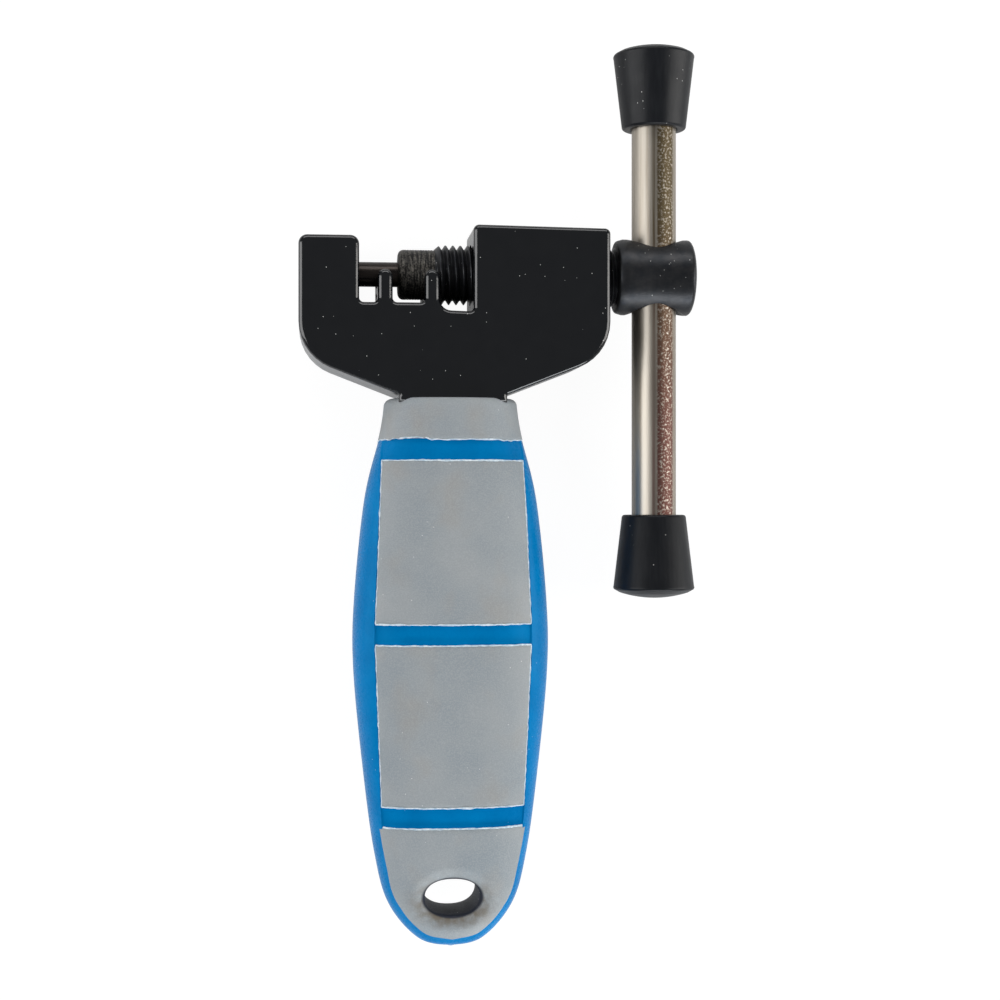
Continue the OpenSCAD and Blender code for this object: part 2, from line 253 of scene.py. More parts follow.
# %% Camera
ROLL = math.radians(5.7)
camera_data = bpy.data.cameras.new("camera")
camera_data.sensor_width = 36.0
camera_data.lens = 66.5
camera_data.clip_start = 0.01
camera_data.clip_end = 10.0
camera = bpy.data.objects.new("camera", camera_data)
bpy.context.scene.collection.objects.link(camera)
reach, aside, below = 248.0, 6.7, 30.15
camera.location = HOME + MM * Vector((
    aside * math.cos(ROLL) - reach * math.sin(ROLL),
    -below,
    aside * math.sin(ROLL) + reach * math.cos(ROLL),
))
camera.rotation_euler = (0.0, -ROLL, 0.0)
bpy.context.scene.camera = camera

# %% Lights and world


def soft_light(name, place, size, power, colour=(1.0, 1.0, 1.0)):
    data = bpy.data.lights.new(name, "AREA")
    data.shape = "RECTANGLE"
    data.size, data.size_y = size
    data.energy = power
    data.color = colour
    light = bpy.data.objects.new(name, data)
    bpy.context.scene.collection.objects.link(light)
    light.location = Vector(place)
    light.rotation_euler = (Vector((0, 0, 0)) - Vector(place)).to_track_quat("-Z", "Y").to_euler()
    return light


soft_light("left", (-0.48, 0.02, 0.22), (0.26, 0.60), 1.7)
soft_light("right", (0.50, 0.0, 0.20), (0.24, 0.60), 1.9, (1.0, 0.98, 0.95))
soft_light("far", (0.0, 0.54, 0.30), (0.70, 0.26), 1.6)
soft_light("near", (0.12, -0.60, 0.17), (0.70, 0.25), 3.4, (0.93, 0.97, 1.0))

world = bpy.data.worlds.new("studio")
bpy.context.scene.world = world
world.use_nodes = True
sky = world.node_tree
sky.nodes.clear()
dim = add(sky, "ShaderNodeBackground", {"Color": (0.95, 0.97, 1.0, 1.0), "Strength": 0.20})
white = add(sky, "ShaderNodeBackground", {"Color": (1.0, 1.0, 1.0, 1.0), "Strength": 1.0})
sky_ray = add(sky, "ShaderNodeLightPath").outputs["Is Camera Ray"]
sky_mix = add(sky, "ShaderNodeMixShader", {0: sky_ray, 1: dim.outputs[0], 2: white.outputs[0]})
add(sky, "ShaderNodeOutputWorld", {"Surface": sky_mix.outputs[0]})
bpy.context.scene.view_settings.view_transform = "Standard"


# %% Floor
def floor_finish():
    paper = bpy.data.materials.new("white_paper")
    paper.use_nodes = True
    tree = paper.node_tree
    tree.nodes.clear()
    diffuse = add(tree, "ShaderNodeBsdfDiffuse", {"Color": (0.86, 0.86, 0.86, 1.0)})
    glow = add(tree, "ShaderNodeEmission", {"Color": (1.0, 1.0, 1.0, 1.0), "Strength": 1.09})
    rays = add(tree, "ShaderNodeLightPath")
    mirrored = calc(tree, "MULTIPLY", rays.outputs["Is Glossy Ray"], 0.12)
    seen = calc(tree, "MAXIMUM", calc(tree, "MULTIPLY", rays.outputs["Is Camera Ray"], 0.86), mirrored)
    mix = add(tree, "ShaderNodeMixShader", {0: seen, 1: diffuse.outputs[0], 2: glow.outputs[0]})
    add(tree, "ShaderNodeOutputMaterial", {"Surface": mix.outputs[0]})
    return paper


FLOOR = 1.5
floor_mesh = bpy.data.meshes.new("floor")
corners = [(-FLOOR, -FLOOR, 0), (FLOOR, -FLOOR, 0), (FLOOR, FLOOR, 0), (-FLOOR, FLOOR, 0)]
floor_mesh.from_pydata(corners, [], [(0, 1, 2, 3)])
floor = bpy.data.objects.new("floor", floor_mesh)
bpy.context.scene.collection.objects.link(floor)
floor_mesh.materials.append(floor_finish())

# %% [markdown]
# ## Finishes
# Every finish starts from the same shader. What makes each one real is small: a fine bump, a little
# unevenness in colour and gloss, and a few specks of dust. The dust is a sparse field of round cells; only
# the cells whose random number is high enough show a pale dot.

# %% Finish helpers


def finish_base(name, roughness=0.4, metallic=0.0, specular=0.5):
    made = bpy.data.materials.new(name)
    made.use_nodes = True
    tree = made.node_tree
    shader = tree.nodes["Principled BSDF"]
    shader.inputs["Roughness"].default_value = roughness
    shader.inputs["Metallic"].default_value = metallic
    shader.inputs["Specular IOR Level"].default_value = specular
    place = add(tree, "ShaderNodeTexCoord").outputs["Object"]
    return made, tree, shader, place


def grain(tree, place, size, detail=2.0, stretch=(1.0, 1.0, 1.0)):
    """Noise whose blobs are about size millimetres across."""
    mapped = add(tree, "ShaderNodeMapping", {"Vector": place, "Scale": stretch}).outputs[0]
    return add(tree, "ShaderNodeTexNoise", {
        "Vector": mapped, "Scale": 1.0 / (size * MM), "Detail": detail, "Roughness": 0.55}).outputs[0]


def ramp(tree, value, low, high, to_low=0.0, to_high=1.0):
    """Maps low..high to a new range, held at both ends."""
    return add(tree, "ShaderNodeMapRange", {
        "Value": value, "From Min": low, "From Max": high, "To Min": to_low, "To Max": to_high}).outputs[0]


def blend_colour(tree, share, first, second):
    made = add(tree, "ShaderNodeMix", data_type="RGBA")
    for key, value in (("Factor_Float", share), ("A_Color", first), ("B_Color", second)):
        socket = [s for s in made.inputs if s.identifier == key][0]
        if isinstance(value, bpy.types.NodeSocket):
            tree.links.new(value, socket)
        else:
            socket.default_value = value if isinstance(value, float) else (*value, 1.0)
    return [s for s in made.outputs if s.identifier == "Result_Color"][0]


def dust(tree, place, spacing=2.2, amount=0.12, dot=0.055):
    """Share of a dust speck at a point: spacing and dot are in millimetres."""
    cells = add(tree, "ShaderNodeTexVoronoi", {"Vector": place, "Scale": 1.0 / (spacing * MM)})
    near = ramp(tree, cells.outputs["Distance"], dot / spacing, 0.5 * dot / spacing)
    chance = add(tree, "ShaderNodeSeparateColor", {0: cells.outputs["Color"]}).outputs[0]
    chosen = calc(tree, "GREATER_THAN", chance, 1.0 - amount)
    return calc(tree, "MULTIPLY", near, chosen)


def relief(tree, shader, height, depth):
    """Bump from a height of 0 to 1 that stands for depth millimetres."""
    bump = add(tree, "ShaderNodeBump", {"Height": height, "Distance": depth * MM, "Strength": 1.0})
    tree.links.new(bump.outputs[0], shader.inputs["Normal"])


# %% Black paint and black plastic
DUST = (0.55, 0.55, 0.53)


def paint_finish():
    made, tree, shader, place = finish_base("black_paint", specular=0.7)
    wave = grain(tree, place, 2.4, detail=1.0)
    fine = grain(tree, place, 0.35, detail=2.0)
    base = blend_colour(tree, ramp(tree, wave, 0.3, 0.7), (0.0030, 0.0036, 0.0048), (0.0038, 0.0044, 0.0056))
    specks = dust(tree, place, spacing=1.25, amount=0.8, dot=0.075)
    tree.links.new(blend_colour(tree, specks, base, DUST), shader.inputs["Base Color"])
    tree.links.new(ramp(tree, wave, 0.3, 0.7, 0.09, 0.14), shader.inputs["Roughness"])
    height = calc(tree, "ADD", calc(tree, "MULTIPLY", wave, 0.8), calc(tree, "MULTIPLY", fine, 0.2))
    relief(tree, shader, height, 0.035)
    return made


def cap_finish():
    made, tree, shader, place = finish_base("black_cap_plastic", specular=0.22)
    drawn = grain(tree, place, 0.5, detail=3.0, stretch=(1.0, 0.06, 1.0))
    wave = grain(tree, place, 3.0, detail=1.0)
    base = blend_colour(tree, ramp(tree, drawn, 0.3, 0.7), (0.0050, 0.0058, 0.0078), (0.0095, 0.0105, 0.0128))
    specks = dust(tree, place, spacing=1.2, amount=0.8, dot=0.085)
    tree.links.new(blend_colour(tree, specks, base, DUST), shader.inputs["Base Color"])
    tree.links.new(ramp(tree, wave, 0.3, 0.7, 0.34, 0.42), shader.inputs["Roughness"])
    relief(tree, shader, drawn, 0.012)
    return made


# %% [markdown]
# Steel comes in four states here: the blackened screw and barrel, the bare turned nose, the dark drive pin
# and the plated rod. The rod's plating has started to stain, so brown specks gather along one side of it,
# more olive near the upper cap and redder near the lower one. A thin brown line along the rod, at one angle
# round it, is a painted reflection streak in the same colours. The side and the line are found from the
# angle round the rod's own axis, which needs only the point's own place.

# %% Steels


def blackened_finish():
    made, tree, shader, place = finish_base("blackened_steel", metallic=0.75, specular=0.5)
    mottle = grain(tree, place, 1.4, detail=3.0)
    fine = grain(tree, place, 0.16, detail=2.0)
    base = blend_colour(tree, ramp(tree, mottle, 0.3, 0.7), (0.020, 0.022, 0.026), (0.040, 0.040, 0.042))
    specks = dust(tree, place, spacing=0.85, amount=0.8, dot=0.07)
    tree.links.new(blend_colour(tree, specks, base, DUST), shader.inputs["Base Color"])
    tree.links.new(ramp(tree, fine, 0.3, 0.7, 0.30, 0.46), shader.inputs["Roughness"])
    relief(tree, shader, calc(tree, "ADD", fine, calc(tree, "MULTIPLY", mottle, 0.6)), 0.012)
    return made


def nose_finish():
    made, tree, shader, place = finish_base("turned_nose_steel", metallic=0.7, specular=0.5)
    rings = grain(tree, place, 0.32, detail=2.0, stretch=(1.0, 0.12, 0.12))
    specks = grain(tree, place, 0.22, detail=2.0)
    # Pale flecks along the turning rings are painted glints, standing in for highlights on the tool marks.
    light = ramp(tree, calc(tree, "MULTIPLY", rings, specks), 0.20, 0.42)
    tree.links.new(
        blend_colour(tree, light, (0.012, 0.0115, 0.011), (0.16, 0.148, 0.130)), shader.inputs["Base Color"])
    tree.links.new(ramp(tree, specks, 0.3, 0.7, 0.36, 0.55), shader.inputs["Roughness"])
    relief(tree, shader, calc(tree, "ADD", rings, calc(tree, "MULTIPLY", specks, 0.5)), 0.03)
    return made


def pin_finish():
    made, tree, shader, place = finish_base("dark_pin_steel", metallic=0.8, specular=0.5)
    drawn = grain(tree, place, 0.4, detail=2.0, stretch=(0.08, 1.0, 1.0))
    tree.links.new(
        blend_colour(tree, ramp(tree, drawn, 0.3, 0.7), (0.016, 0.014, 0.014), (0.050, 0.040, 0.034)),
        shader.inputs["Base Color"])
    tree.links.new(ramp(tree, drawn, 0.3, 0.7, 0.22, 0.34), shader.inputs["Roughness"])
    relief(tree, shader, drawn, 0.006)
    return made


def plated_finish():
    made, tree, shader, place = finish_base("plated_rod_steel", metallic=1.0, specular=0.5)
    local = add(tree, "ShaderNodeVectorMath", {
        0: place, 1: (HOME.x + bar_x * MM, HOME.y, HOME.z)}, operation="SUBTRACT").outputs[0]
    parts = add(tree, "ShaderNodeSeparateXYZ", {0: local}).outputs
    angle = calc(tree, "ARCTAN2", parts[2], parts[0])
    side = calc(tree, "MULTIPLY", ramp(tree, angle, 0.62, 0.82), ramp(tree, angle, 1.66, 1.56))
    specks = grain(tree, place, 0.30, detail=4.0)
    streaks = grain(tree, place, 0.8, detail=3.0, stretch=(1.0, 0.035, 1.0))
    # Painted reflection: a thin brown line at one fixed angle round the rod stands in for a reflection streak.
    line = ramp(tree, calc(tree, "ABSOLUTE", calc(tree, "SUBTRACT", angle, 1.75)), 0.11, 0.03)
    line = calc(tree, "MULTIPLY", line, ramp(tree, streaks, 0.35, 0.60, 0.25, 0.95))
    # This mask holds both the real stain on one side and the painted reflection line.
    stain_and_painted_reflection = calc(tree, "MAXIMUM", calc(tree, "MULTIPLY", side, ramp(tree, specks, 0.30, 0.50)), line)
    height = ramp(tree, parts[1], -20 * MM, 8 * MM)
    stain_and_reflection_colour = blend_colour(tree, height, (0.125, 0.060, 0.050), (0.105, 0.080, 0.045))
    plate = blend_colour(tree, ramp(tree, streaks, 0.35, 0.65), (0.34, 0.30, 0.25), (0.50, 0.46, 0.40))
    tree.links.new(blend_colour(tree, stain_and_painted_reflection, plate, stain_and_reflection_colour), shader.inputs["Base Color"])
    rough = calc(tree, "ADD", ramp(tree, streaks, 0.3, 0.7, 0.36, 0.44), calc(tree, "MULTIPLY", stain_and_painted_reflection, 0.12))
    tree.links.new(rough, shader.inputs["Roughness"])
    relief(tree, shader, calc(tree, "ADD", calc(tree, "MULTIPLY", streaks, 0.5), stain_and_painted_reflection), 0.004)
    return made


# %% [markdown]
# The handle's core is a hard semi-gloss plastic. Its grips are a soft matt one, cast round it with a fine
# sandy face. They have warm and cool patches and a dark brown stain round the hanging hole where fingers
# and hooks have rubbed. The hole's wall carries painted shade, darker deeper inside. A thin pale line of
# flash stands along the seams where the soft plastic crept past its mould.

# %% Handle plastics


def core_finish():
    made, tree, shader, place = finish_base("blue_core_plastic", specular=0.5)
    shader.inputs["IOR"].default_value = 1.22
    shader.inputs["Specular Tint"].default_value = (0.06, 0.62, 0.95, 1.0)
    wave = grain(tree, place, 5.0, detail=2.0)
    fine = grain(tree, place, 0.5, detail=2.0)
    base = blend_colour(tree, ramp(tree, wave, 0.3, 0.7), (0.0, 0.172, 0.455), (0.0, 0.208, 0.525))
    specks = dust(tree, place, spacing=1.5, amount=0.7, dot=0.07)
    tree.links.new(blend_colour(tree, specks, base, (0.35, 0.60, 0.85)), shader.inputs["Base Color"])
    tree.links.new(ramp(tree, fine, 0.3, 0.7, 0.24, 0.32), shader.inputs["Roughness"])
    relief(tree, shader, calc(tree, "ADD", wave, calc(tree, "MULTIPLY", fine, 0.12)), 0.05)
    return made


def hole_shade_and_stain(tree, place, base):
    """Paints shade on the hanging hole's wall, darker deeper in, and browns the rim round it where a hook has
    rubbed.
    """
    local = add(tree, "ShaderNodeVectorMath", {
        0: place, 1: (HOME.x, HOME.y + hole_y * MM, HOME.z)}, operation="SUBTRACT").outputs[0]
    parts = add(tree, "ShaderNodeSeparateXYZ", {0: local}).outputs
    wide = calc(tree, "DIVIDE", parts[0], hole_half_w * MM)
    tall = calc(tree, "DIVIDE", parts[1], hole_half_h * MM)
    away = calc(tree, "SQRT", calc(tree, "ADD", calc(tree, "MULTIPLY", wide, wide),
                                   calc(tree, "MULTIPLY", tall, tall)))
    # Painted shade: the hole's wall is darkened, more so deeper inside the hole.
    deep = ramp(tree, calc(tree, "ABSOLUTE", parts[2]), 6.6 * MM, 5.4 * MM)
    painted_wall_shade = calc(tree, "MULTIPLY", ramp(tree, away, 1.14, 1.04), calc(tree, "ADD", deep, 0.25), clamp=True)
    blotch = grain(tree, place, 1.3, detail=3.0)
    below = ramp(tree, tall, 0.9, -0.9, 0.25, 1.0)
    rim = calc(tree, "MULTIPLY", calc(tree, "MULTIPLY", ramp(tree, away, 1.9, 1.1), below),
               ramp(tree, blotch, 0.35, 0.62, 0.15, 0.95))
    base = blend_colour(tree, rim, base, (0.165, 0.135, 0.095))
    # The dark blue-black here is painted shade on the hole's wall.
    return blend_colour(tree, painted_wall_shade, base, (0.022, 0.026, 0.040))


def grip_finish():
    made, tree, shader, place = finish_base("grey_grip_rubber", specular=0.35)
    patch = grain(tree, place, 9.0, detail=2.0)
    warm = grain(tree, place, 5.0, detail=2.0, stretch=(1.0, 0.8, 1.3))
    sand = grain(tree, place, 0.17, detail=2.0)
    base = blend_colour(tree, ramp(tree, patch, 0.3, 0.7), (0.270, 0.310, 0.338), (0.345, 0.368, 0.380))
    base = blend_colour(tree, ramp(tree, warm, 0.52, 0.75, 0.0, 0.45), base, (0.335, 0.310, 0.275))
    base = blend_colour(tree, ramp(tree, sand, 0.42, 0.72, 0.0, 0.38), base, (0.50, 0.51, 0.52))
    base = hole_shade_and_stain(tree, place, base)
    specks = dust(tree, place, spacing=1.4, amount=0.7, dot=0.075)
    tree.links.new(blend_colour(tree, specks, base, (0.85, 0.85, 0.83)), shader.inputs["Base Color"])
    tree.links.new(ramp(tree, sand, 0.3, 0.7, 0.46, 0.60), shader.inputs["Roughness"])
    relief(tree, shader, sand, 0.035)
    return made


def flash_finish():
    made, tree, shader, place = finish_base("pale_flash", specular=0.4)
    spots = grain(tree, place, 0.6, detail=2.0)
    tree.links.new(
        blend_colour(tree, ramp(tree, spots, 0.35, 0.65), (0.45, 0.60, 0.72), (0.80, 0.88, 0.92)),
        shader.inputs["Base Color"])
    tree.links.new(ramp(tree, spots, 0.3, 0.7, 0.40, 0.55), shader.inputs["Roughness"])
    return made


black_paint, cap_plastic = paint_finish(), cap_finish()
blackened, nose_steel, pin_steel, plated = blackened_finish(), nose_finish(), pin_finish(), plated_finish()
blue_plastic, grip_rubber, flash = core_finish(), grip_finish(), flash_finish()
print(len(bpy.data.materials), "finishes")


def fit(piece, finish, body, slot, *nodes):
    """Gives a piece its finish and its place in the assembly."""
    piece.data.materials.clear()
    piece.data.materials.append(finish)
    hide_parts(*nodes)
    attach(piece, body)
    return piece


# %% [markdown]
# ## The head
# The head is a thick casting with one outline from front to back: the anvil jaw, the floor with its two
# round-topped ribs, and the tall block that carries the screw. So the outline comes first, as corners with
# a radius each. It is thickened, its front and rear rims are rounded, and the bores are cut last. The
# groove that clears a chain roller runs through both ribs along the screw's axis.

# %% Outline with rounded corners


def rounded(corners, steps=6):
    """Outline through corners (x, y, radius): each corner becomes an arc that touches both sides."""
    outline = []
    for i, (x, y, radius) in enumerate(corners):
        here = Vector((x, y))
        back = (Vector(corners[i - 1][:2]) - here).normalized()
        ahead = (Vector(corners[(i + 1) % len(corners)][:2]) - here).normalized()
        half = back.angle(ahead) / 2
        if radius == 0:
            outline.append((x, y))
            continue
        centre = here + (back + ahead).normalized() * radius / math.sin(half)
        first = here + back * radius / math.tan(half) - centre
        turn = first.angle_signed(here + ahead * radius / math.tan(half) - centre)
        for k in range(steps + 1):
            t = -turn * k / steps
            outline.append((
                centre.x + first.x * math.cos(t) - first.y * math.sin(t),
                centre.y + first.x * math.sin(t) + first.y * math.cos(t)))
    return [p for p, last in zip(outline, outline[-1:] + outline) if math.dist(p, last) > 0.02]


# %% The head's own sizes
slot_left, slot_right = -12.3, 2.7
floor_y, relief_y, rib_top = -4.25, -5.2, 0.1
ribs = (slot_left + 3.4, slot_left + 3.4 + 6.15)
rib_half, foot_r = 0.975, 0.6
anvil_top, block_left_top, block_right_top = 4.5, 6.1, 5.8
neck_half, neck_y = 7.15, handle_top
shoulder_slope = math.tan(math.radians(22.7))
shoulder_r, jaw_r, rim_r = 6.5, 1.15, 0.65
neck_sink, neck_show = 0.6, 0.4


def head_corners():
    corners = [(-neck_half, neck_y - neck_sink, 0), (-neck_half, neck_y + neck_show, 0.3)]
    corners += [(head_left, neck_y + (-head_left - neck_half) * shoulder_slope, shoulder_r)]
    corners += [(head_left, anvil_top, jaw_r), (slot_left, anvil_top, jaw_r), (slot_left, floor_y, foot_r)]
    for rib in ribs:
        right_foot = floor_y if rib is ribs[0] else relief_y
        corners += [(rib - rib_half, floor_y, foot_r), (rib - rib_half, rib_top, rib_half)]
        corners += [(rib + rib_half, rib_top, rib_half)]
        corners += [(rib + rib_half, right_foot, foot_r if rib is ribs[0] else 1.6)]
    corners += [(slot_right, relief_y - 0.15, 0.5), (slot_right, block_left_top, 0.75)]
    corners += [(head_right, block_right_top, 0.75)]
    corners += [(head_right, neck_y + (head_right - neck_half) * shoulder_slope, shoulder_r)]
    corners += [(neck_half, neck_y + neck_show, 0.3), (neck_half, neck_y - neck_sink, 0)]
    return corners


# %% Make the head


def drawn_in(outline, distance):
    """The outline moved inwards by a distance. Each point moves along the middle of its two sides."""
    points = [Vector(p) for p in outline]
    result = []
    for i, here in enumerate(points):
        back, ahead = (here - points[i - 1]).normalized(), (points[(i + 1) % len(points)] - here).normalized()
        out = Vector((back.y + ahead.y, -back.x - ahead.x)).normalized()
        share = max(0.3, out.dot(Vector((back.y, -back.x))))
        result.append(here + out * distance / share)
    return result


def rim_rings(outline, radius, steps=6):
    """Rings from the back to the front, with both rims rounded."""
    turns = [math.radians(90.0 * i / steps) for i in range(steps + 1)]
    back = [(radius * (1 - math.sin(t)), head_back + radius * (1 - math.cos(t))) for t in turns]
    front = [(inset, -z) for inset, z in reversed(back)]
    return [[(p.x, p.y, z) for p in drawn_in(outline, inset)] for inset, z in back + front]


outline = rounded(head_corners(), steps=7)
head = skin("head_casting", rim_rings(outline, rim_r), crisp=50.0)


def rod_along_x(name, radius, low, high, steps=64):
    return turned(name, [(low, 0), (low, radius), (high, radius), (high, 0)], steps=steps)


cut(head, rod_along_x("groove", 4.12, slot_left + 0.7, slot_right - 0.01))
cut(head, rod_along_x("screw_bore", 4.05, slot_right - 0.5, head_right + 1))
cut(head, rod_along_x("rivet_hole", 2.1, head_left - 1, slot_left + 0.9, steps=48))
ease_edges(head, 0.14, angle=42.0, segments=2)
flat_shading(head)
fit(head, black_paint, "frame", "head_paint", "head_frame")
print("head:", len(head.data.polygons), "faces")

# %% [markdown]
# ## The forcing screw
# A thread follows a rule, so Geometry Nodes grow it from a flat grid. Each grid row is wrapped round the
# axis and slid along by one pitch per turn, so the rows follow the helix and the crests stay clean. The
# distance to the nearest root sets the radius. At both ends the thread fades into the root.

# %% Thread tree


def thread_tree(finish):
    tree, size = growing_tree("screw_thread", {
        "Start": -2.3, "Length": 24.6, "Pitch": 1.0, "Root": 3.4, "Crest": 3.98,
        "Rows per pitch": 12, "Steps round": 72})
    full = calc(tree, "ADD", size["Length"], size["Pitch"])
    rows = calc(tree, "ADD", calc(tree, "MULTIPLY", calc(tree, "DIVIDE", full, size["Pitch"]),
                                  size["Rows per pitch"]), 1.0)
    around = calc(tree, "ADD", size["Steps round"], 1.0)
    grid = add(tree, "GeometryNodeMeshGrid", {
        "Size X": full, "Size Y": 1.0, "Vertices X": rows, "Vertices Y": around}).outputs[0]
    spot = add(tree, "ShaderNodeSeparateXYZ", {0: add(tree, "GeometryNodeInputPosition").outputs[0]}).outputs
    row = calc(tree, "SUBTRACT", calc(tree, "ADD", spot[0], calc(tree, "MULTIPLY", full, 0.5)), size["Pitch"])
    turn = calc(tree, "ADD", spot[1], 0.5)
    slid = calc(tree, "ADD", row, calc(tree, "MULTIPLY", size["Pitch"], turn))
    along = calc(tree, "MAXIMUM", calc(tree, "MINIMUM", slid, size["Length"]), 0.0)
    half = calc(tree, "MULTIPLY", size["Pitch"], 0.5)
    from_root = calc(tree, "PINGPONG", row, half)
    tooth = calc(tree, "SUBTRACT", calc(tree, "MULTIPLY", calc(tree, "DIVIDE", from_root, half), 1.3), 0.15,
                 clamp=True)
    tall = calc(tree, "MULTIPLY", calc(tree, "SUBTRACT", size["Crest"], size["Root"]), tooth)
    fade = calc(tree, "MINIMUM", calc(tree, "MULTIPLY", along, 0.8),
                calc(tree, "SUBTRACT", size["Length"], along))
    radius = calc(tree, "ADD", size["Root"], calc(tree, "MINIMUM", tall, fade))
    inside = calc(tree, "LESS_THAN", calc(tree, "ABSOLUTE", spot[0]),
                  calc(tree, "SUBTRACT", calc(tree, "MULTIPLY", full, 0.5), 0.001))
    radius = calc(tree, "MULTIPLY", radius, inside)
    angle = calc(tree, "MULTIPLY", turn, 2 * math.pi)
    wrapped = add(tree, "ShaderNodeCombineXYZ", {
        0: calc(tree, "ADD", size["Start"], along),
        1: calc(tree, "MULTIPLY", radius, calc(tree, "COSINE", angle)),
        2: calc(tree, "MULTIPLY", radius, calc(tree, "SINE", angle))}).outputs[0]
    scaled = add(tree, "ShaderNodeVectorMath", {0: wrapped, "Scale": MM}, operation="SCALE").outputs[0]
    placed = add(tree, "ShaderNodeVectorMath", {0: scaled, 1: HOME}, operation="ADD").outputs[0]
    moved = add(tree, "GeometryNodeSetPosition", {"Geometry": grid, "Position": placed}).outputs[0]
    merged = add(tree, "GeometryNodeMergeByDistance", {"Geometry": moved, "Distance": 0.002 * MM}).outputs[0]
    close_tree(tree, merged, finish)
    return tree


# %% Screw, nose and pin
thread_start = span("pin_nose", 0)[0] + 4.85
nose_front = span("pin_nose", 0)[0]
barrel_left = head_right + 1.4
barrel_right = span("forcing_screw", 0)[1]
thread = as_piece("screw_thread", [], [])
grow(thread, thread_tree(blackened), {
    "Start": thread_start, "Length": round(barrel_left + 0.3 - thread_start), "Pitch": 1.0}, crisp=40.0)
fit(thread, blackened, "screw", "screw_steel", "forcing_screw")
print("thread:", len(thread.data.polygons), "faces, from", round(thread_start, 2))

# %% [markdown]
# The barrel is a short cylinder with round edges and a cross hole that the rod slides through. It is turned
# from a profile, and the hole is cut with a trumpet-shaped tool: the flare at both ends gives the
# saddle-shaped lip where the rod comes out. A small bevel then softens the lip.

# %% Barrel
barrel_r, waist_depth, edge_r = 5.1, 0.25, 0.8


def barrel_profile():
    low, high = barrel_left, barrel_right
    face_r = barrel_r - 0.62
    profile = [(low, 0.0), (low, 3.0)]
    profile += [(low + 0.45 - a, face_r + b) for a, b in arc(0, 0, 0.45, 0, 70, 5)]
    crest_from, crest_to = low + 1.0, high - edge_r - 0.15
    steps = 24
    for i in range(steps + 1):
        f = i / steps
        dip = waist_depth * (1 - math.cos(2 * math.pi * f)) / 2
        profile.append((crest_from + (crest_to - crest_from) * f, barrel_r - dip))
    profile += [(crest_to + (high - 0.25 - crest_to) * math.sin(t), barrel_r - 1.5 * (1 - math.cos(t)))
                for t in [math.radians(a) for a in (15, 30, 45, 60, 75, 90)]]
    profile += [(high - 0.1, 2.4), (high, 1.0), (high, 0.0)]
    return profile


barrel = turned("screw_barrel", barrel_profile(), steps=128)
flare_from, flare_reach, flare_wide = 3.85, 1.25, 1.0
flare = [(flare_from + flare_reach * i / 8, 3.05 + flare_wide * (i / 8) ** 2) for i in range(9)]
flare.append((9, flare[-1][1] + 4))
cross_profile = [(-y, r) for y, r in reversed(flare)] + flare
cross_profile = [(-9, 0)] + cross_profile + [(9, 0)]
cross = turned("cross_hole", cross_profile, along="y", centre=(bar_x, 0), steps=96)
cut(barrel, cross)
ease_edges(barrel, 0.22, angle=42.0, segments=3)
flat_shading(barrel)
fit(barrel, blackened, "screw", "screw_steel", "forcing_screw")
print("barrel from", round(barrel_left, 2), "to", round(barrel_right, 2))

# %% [markdown]
# The nose is turned down from the screw and holds the drive pin. Fine tool marks run round it. They are
# real grooves: the profile's radius drops a little at even steps. The pin is plain, with a broken edge at
# its tip.

# %% Nose and pin
nose_r, pin_r = 3.325, 1.65


def nose_profile():
    face = nose_front
    profile = [(thread_start + 0.6, pin_r + 0.05), (face + 0.1, pin_r + 0.05), (face, pin_r + 0.15)]
    profile += [(face + 0.75 - a, nose_r - 0.75 + b) for a, b in arc(0, 0, 0.75, 8, 84, 6)]
    marks = 11
    step = (thread_start - face - 1.0) / marks
    for i in range(marks):
        x = face + 0.9 + i * step
        profile += [(x, nose_r), (x + step * 0.55, nose_r), (x + step * 0.75, nose_r - 0.045)]
    profile += [(thread_start, nose_r - 0.02), (thread_start + 0.6, nose_r - 0.3)]
    return profile


def closed_turning(name, profile, steps=96, crisp=35.0):
    """A turned piece with a bore: the profile's last point joins its first."""
    rings = []
    for place, radius in profile:
        turns = [2 * math.pi * k / steps for k in range(steps)]
        rings.append([(place, radius * math.cos(t), radius * math.sin(t)) for t in turns])
    return skin(name, rings, loop=True, crisp=crisp)


nose = closed_turning("pin_nose_turning", nose_profile())
fit(nose, nose_steel, "screw", "nose_steel", "pin_nose")
pin_low, pin_high = span("drive_pin", 0)
pin = turned("drive_pin_turning", [
    (pin_low, 0), (pin_low, pin_r - 0.35), (pin_low + 0.1, pin_r - 0.15), (pin_low + 0.3, pin_r),
    (pin_high - 0.1, pin_r), (pin_high, pin_r - 0.1), (pin_high, 0)], steps=64)
fit(pin, pin_steel, "pin", "pin_steel", "drive_pin")

# %% [markdown]
# ## The T-bar
# A plated rod slides through the barrel, and two tapered caps keep it there. Each cap flares outwards and
# ends in a low dome. Its edges are arcs in the profile, so they catch light like moulded ones.

# %% Rod and caps
rod_r = 3.0
rod_low, rod_high = span("tbar_rod", 1)


def rod_profile():
    edge = 0.4
    return [(rod_low, 0), (rod_low, rod_r - edge), (rod_low + edge, rod_r),
            (rod_high - edge, rod_r), (rod_high, rod_r - edge), (rod_high, 0)]


rod = turned("tbar_rod_bar", rod_profile(), along="y", centre=(bar_x, 0), steps=128)
fit(rod, plated, "tbar", "rod_chrome", "tbar_rod")


